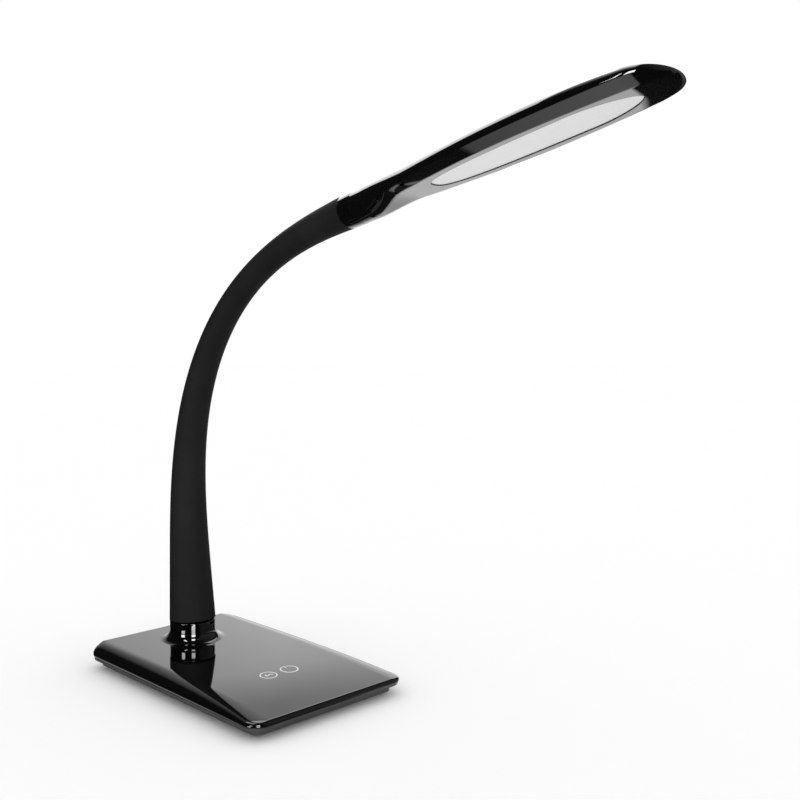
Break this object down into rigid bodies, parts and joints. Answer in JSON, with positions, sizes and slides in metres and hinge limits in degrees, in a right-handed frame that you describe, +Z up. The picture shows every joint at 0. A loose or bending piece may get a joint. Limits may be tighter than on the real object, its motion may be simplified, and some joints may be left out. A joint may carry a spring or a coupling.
{
  "type": "desk lamp",
  "caption": "Gooseneck desk lamp with a rectangular weighted base, a tapered sleeved neck and a flat leaf-shaped head with a recessed light panel.",
  "frame": {"origin": "centre of the foot pad's underside, on the desk", "axes": "+X to the front, the way the head points; +Y to the side; +Z up"},
  "size_m": [0.4103, 0.1198, 0.3423],
  "materials": {
    "gloss_black": "piano black, glossy",
    "pan_plastic": "fine matt grain",
    "foot_rubber": "matt non-slip mat",
    "ballast_steel": "mill finish",
    "screw_steel": "zinc plated",
    "icon_white": "white inlay",
    "sheet_fibre": "vulcanised fibre",
    "board_laminate": "solder mask over laminate",
    "contact_brass": "bright",
    "ribbon_grey": "satin",
    "jack_black": "moulded",
    "connector_nylon": "natural nylon",
    "core_steel": "turned, oiled",
    "sleeve_rubber": "matt skin",
    "lead_sheath": "satin sheath",
    "diffuser_white": "frosted white",
    "reflector_white": "matt white",
    "lamp_board_white": "white solder mask",
    "led_phosphor": "phosphor resin",
    "spreader_aluminium": "rolled"
  },
  "bodies": {
    "base": {"anchor_screws": "screw_steel", "ballast_plate": "ballast_steel", "ballast_screws": "screw_steel", "base_cover": "gloss_black", "base_pan": "pan_plastic", "brightness_icon": "icon_white", "dc_jack": "jack_black", "driver_board": "board_laminate", "foot_pad": "foot_rubber", "insulator": "sheet_fibre", "lead_socket": "connector_nylon", "neck_anchor": "core_steel", "neck_lead": "lead_sheath", "neck_sleeve": "sleeve_rubber", "pan_screws": "screw_steel", "power_icon": "icon_white", "ribbon_cable": "ribbon_grey", "touch_board": "board_laminate", "touch_springs": "contact_brass"},
    "link_01": {"neck_link_01": "core_steel"},
    "link_02": {"neck_link_02": "core_steel"},
    "link_03": {"neck_link_03": "core_steel"},
    "link_04": {"neck_link_04": "core_steel"},
    "link_05": {"neck_link_05": "core_steel"},
    "link_06": {"neck_link_06": "core_steel"},
    "link_07": {"neck_link_07": "core_steel"},
    "link_08": {"neck_link_08": "core_steel"},
    "link_09": {"neck_link_09": "core_steel"},
    "link_10": {"neck_link_10": "core_steel"},
    "link_11": {"neck_link_11": "core_steel"},
    "link_12": {"neck_link_12": "core_steel"},
    "link_13": {"neck_link_13": "core_steel"},
    "head": {"head_ferrule": "core_steel", "ferrule_screw": "screw_steel", "head_top_shell": "gloss_black", "head_bottom_shell": "gloss_black", "diffuser": "diffuser_white", "reflector": "reflector_white", "led_board": "lamp_board_white", "leds": "led_phosphor", "heat_spreader": "spreader_aluminium", "board_screws": "screw_steel", "lead_terminal": "connector_nylon"}
  },
  "joints": [
    {"name": "lower_bend", "type": "hinge", "parent": "base", "child": "link_01", "pos_m": [-0.05758, 0, 0.04448], "axis": [0, 1, 0], "range_deg": [-7, 3], "deforming": ["neck_sleeve", "neck_lead"]},
    {"name": "lower_bend_2", "type": "hinge", "parent": "link_01", "child": "link_02", "pos_m": [-0.05901, 0, 0.06994], "axis": [0, 1, 0], "range_deg": [-7, 3]},
    {"name": "lower_side", "type": "hinge", "parent": "link_02", "child": "link_03", "pos_m": [-0.06026, 0, 0.09541], "axis": [-0.9997, 0, -0.0254], "range_deg": [-12, 12]},
    {"name": "lower_bend_3", "type": "hinge", "parent": "link_03", "child": "link_04", "pos_m": [-0.0603, 0, 0.12091], "axis": [0, 1, 0], "range_deg": [-7, 3]},
    {"name": "lower_bend_4", "type": "hinge", "parent": "link_04", "child": "link_05", "pos_m": [-0.05815, 0, 0.14632], "axis": [0, 1, 0], "range_deg": [-7, 3]},
    {"name": "lower_side_2", "type": "hinge", "parent": "link_05", "child": "link_06", "pos_m": [-0.05303, 0, 0.1713], "axis": [-0.9631, 0, 0.2691], "range_deg": [-12, 12]},
    {"name": "lower_bend_5", "type": "hinge", "parent": "link_06", "child": "link_07", "pos_m": [-0.04446, 0, 0.19531], "axis": [0, 1, 0], "range_deg": [-7, 3]},
    {"name": "upper_bend", "type": "hinge", "parent": "link_07", "child": "link_08", "pos_m": [-0.03225, 0, 0.2177], "axis": [0, 1, 0], "range_deg": [-9, 7]},
    {"name": "upper_side", "type": "hinge", "parent": "link_08", "child": "link_09", "pos_m": [-0.01656, 0, 0.2378], "axis": [-0.7353, 0, 0.6777], "range_deg": [-12, 12]},
    {"name": "upper_bend_2", "type": "hinge", "parent": "link_09", "child": "link_10", "pos_m": [0.0022, 0, 0.25508], "axis": [0, 1, 0], "range_deg": [-9, 7]},
    {"name": "upper_bend_3", "type": "hinge", "parent": "link_10", "child": "link_11", "pos_m": [0.0234, 0, 0.26924], "axis": [0, 1, 0], "range_deg": [-9, 7]},
    {"name": "upper_side_2", "type": "hinge", "parent": "link_11", "child": "link_12", "pos_m": [0.04637, 0, 0.28032], "axis": [-0.3815, 0, 0.9244], "range_deg": [-12, 12]},
    {"name": "upper_bend_4", "type": "hinge", "parent": "link_12", "child": "link_13", "pos_m": [0.07046, 0, 0.28867], "axis": [0, 1, 0], "range_deg": [-9, 7]},
    {"name": "upper_bend_5", "type": "hinge", "parent": "link_13", "child": "head", "pos_m": [0.09518, 0, 0.29495], "axis": [0, 1, 0], "range_deg": [-9, 7]}
  ],
  "couplings": [
    {"joint": "lower_bend_2", "follows": "lower_bend", "ratio": 1},
    {"joint": "lower_bend_3", "follows": "lower_bend", "ratio": 1},
    {"joint": "lower_bend_4", "follows": "lower_bend", "ratio": 1},
    {"joint": "lower_side_2", "follows": "lower_side", "ratio": 1},
    {"joint": "lower_bend_5", "follows": "lower_bend", "ratio": 1},
    {"joint": "upper_bend_2", "follows": "upper_bend", "ratio": 1},
    {"joint": "upper_bend_3", "follows": "upper_bend", "ratio": 1},
    {"joint": "upper_side_2", "follows": "upper_side", "ratio": 1},
    {"joint": "upper_bend_4", "follows": "upper_bend", "ratio": 1},
    {"joint": "upper_bend_5", "follows": "upper_bend", "ratio": 1}
  ]
}
